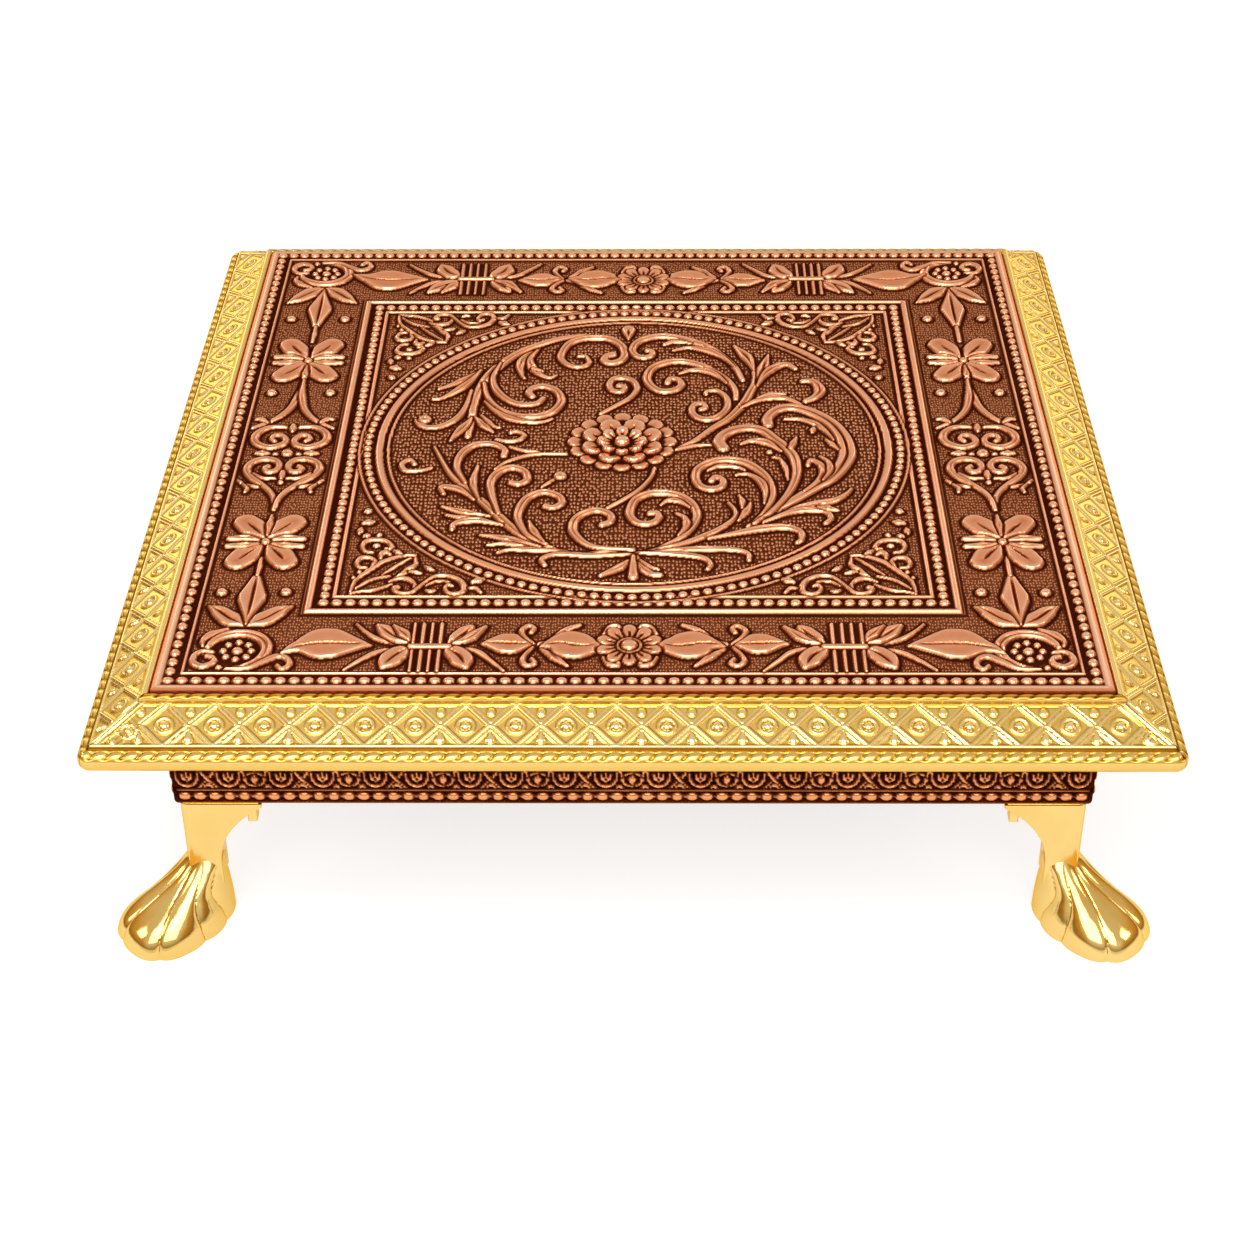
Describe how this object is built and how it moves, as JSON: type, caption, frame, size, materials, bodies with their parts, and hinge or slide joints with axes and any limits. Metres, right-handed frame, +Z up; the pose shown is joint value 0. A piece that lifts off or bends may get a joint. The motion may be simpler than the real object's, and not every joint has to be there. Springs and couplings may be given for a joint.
{
  "type": "bajot low table",
  "caption": "Low square table with a wooden core clad in embossed copper and brass sheet, a sloping edge moulding, an apron box and cast brass paw legs.",
  "frame": {"origin": "on the floor under the middle of the table top", "axes": "+Z up, +X towards the table's right side, +Y towards its back; the front faces -Y"},
  "size_m": [0.381, 0.381, 0.1093],
  "materials": {
    "top_copper": "embossed copper sheet, polished on the raised work, dark patina in the recesses",
    "apron_copper": "embossed copper sheet, dark red patina, rubbed bright on the raised work",
    "edge_brass": "embossed brass sheet, bright",
    "cast_brass": "cast brass, polished, flat faces brushed",
    "fastener_brass": "plain turned brass",
    "board_wood": "unfinished hardwood, planed",
    "rail_wood": "unfinished hardwood, sawn"
  },
  "bodies": {
    "root": {"top_board": "board_wood", "copper_top_sheet": "top_copper", "edge_moulding_front": "board_wood", "brass_edge_strip_front": "edge_brass", "apron_rail_front": "rail_wood", "copper_apron_strip_front": "apron_copper", "apron_tack_front_a": "fastener_brass", "apron_tack_front_b": "fastener_brass", "edge_tack_front_a": "fastener_brass", "edge_tack_front_b": "fastener_brass", "edge_moulding_right": "board_wood", "brass_edge_strip_right": "edge_brass", "apron_rail_right": "rail_wood", "copper_apron_strip_right": "apron_copper", "apron_tack_right_a": "fastener_brass", "apron_tack_right_b": "fastener_brass", "edge_tack_right_a": "fastener_brass", "edge_tack_right_b": "fastener_brass", "edge_moulding_back": "board_wood", "brass_edge_strip_back": "edge_brass", "apron_rail_back": "rail_wood", "copper_apron_strip_back": "apron_copper", "apron_tack_back_a": "fastener_brass", "apron_tack_back_b": "fastener_brass", "edge_tack_back_a": "fastener_brass", "edge_tack_back_b": "fastener_brass", "edge_moulding_left": "board_wood", "brass_edge_strip_left": "edge_brass", "apron_rail_left": "rail_wood", "copper_apron_strip_left": "apron_copper", "apron_tack_left_a": "fastener_brass", "apron_tack_left_b": "fastener_brass", "edge_tack_left_a": "fastener_brass", "edge_tack_left_b": "fastener_brass", "leg_front_left": "cast_brass", "corner_block_front_left": "rail_wood", "block_screw_front_left": "fastener_brass", "leg_screw_front_left_a": "fastener_brass", "leg_screw_front_left_b": "fastener_brass", "leg_front_right": "cast_brass", "corner_block_front_right": "rail_wood", "block_screw_front_right": "fastener_brass", "leg_screw_front_right_a": "fastener_brass", "leg_screw_front_right_b": "fastener_brass", "leg_back_right": "cast_brass", "corner_block_back_right": "rail_wood", "block_screw_back_right": "fastener_brass", "leg_screw_back_right_a": "fastener_brass", "leg_screw_back_right_b": "fastener_brass", "leg_back_left": "cast_brass", "corner_block_back_left": "rail_wood", "block_screw_back_left": "fastener_brass", "leg_screw_back_left_a": "fastener_brass", "leg_screw_back_left_b": "fastener_brass"}
  },
  "joints": []
}
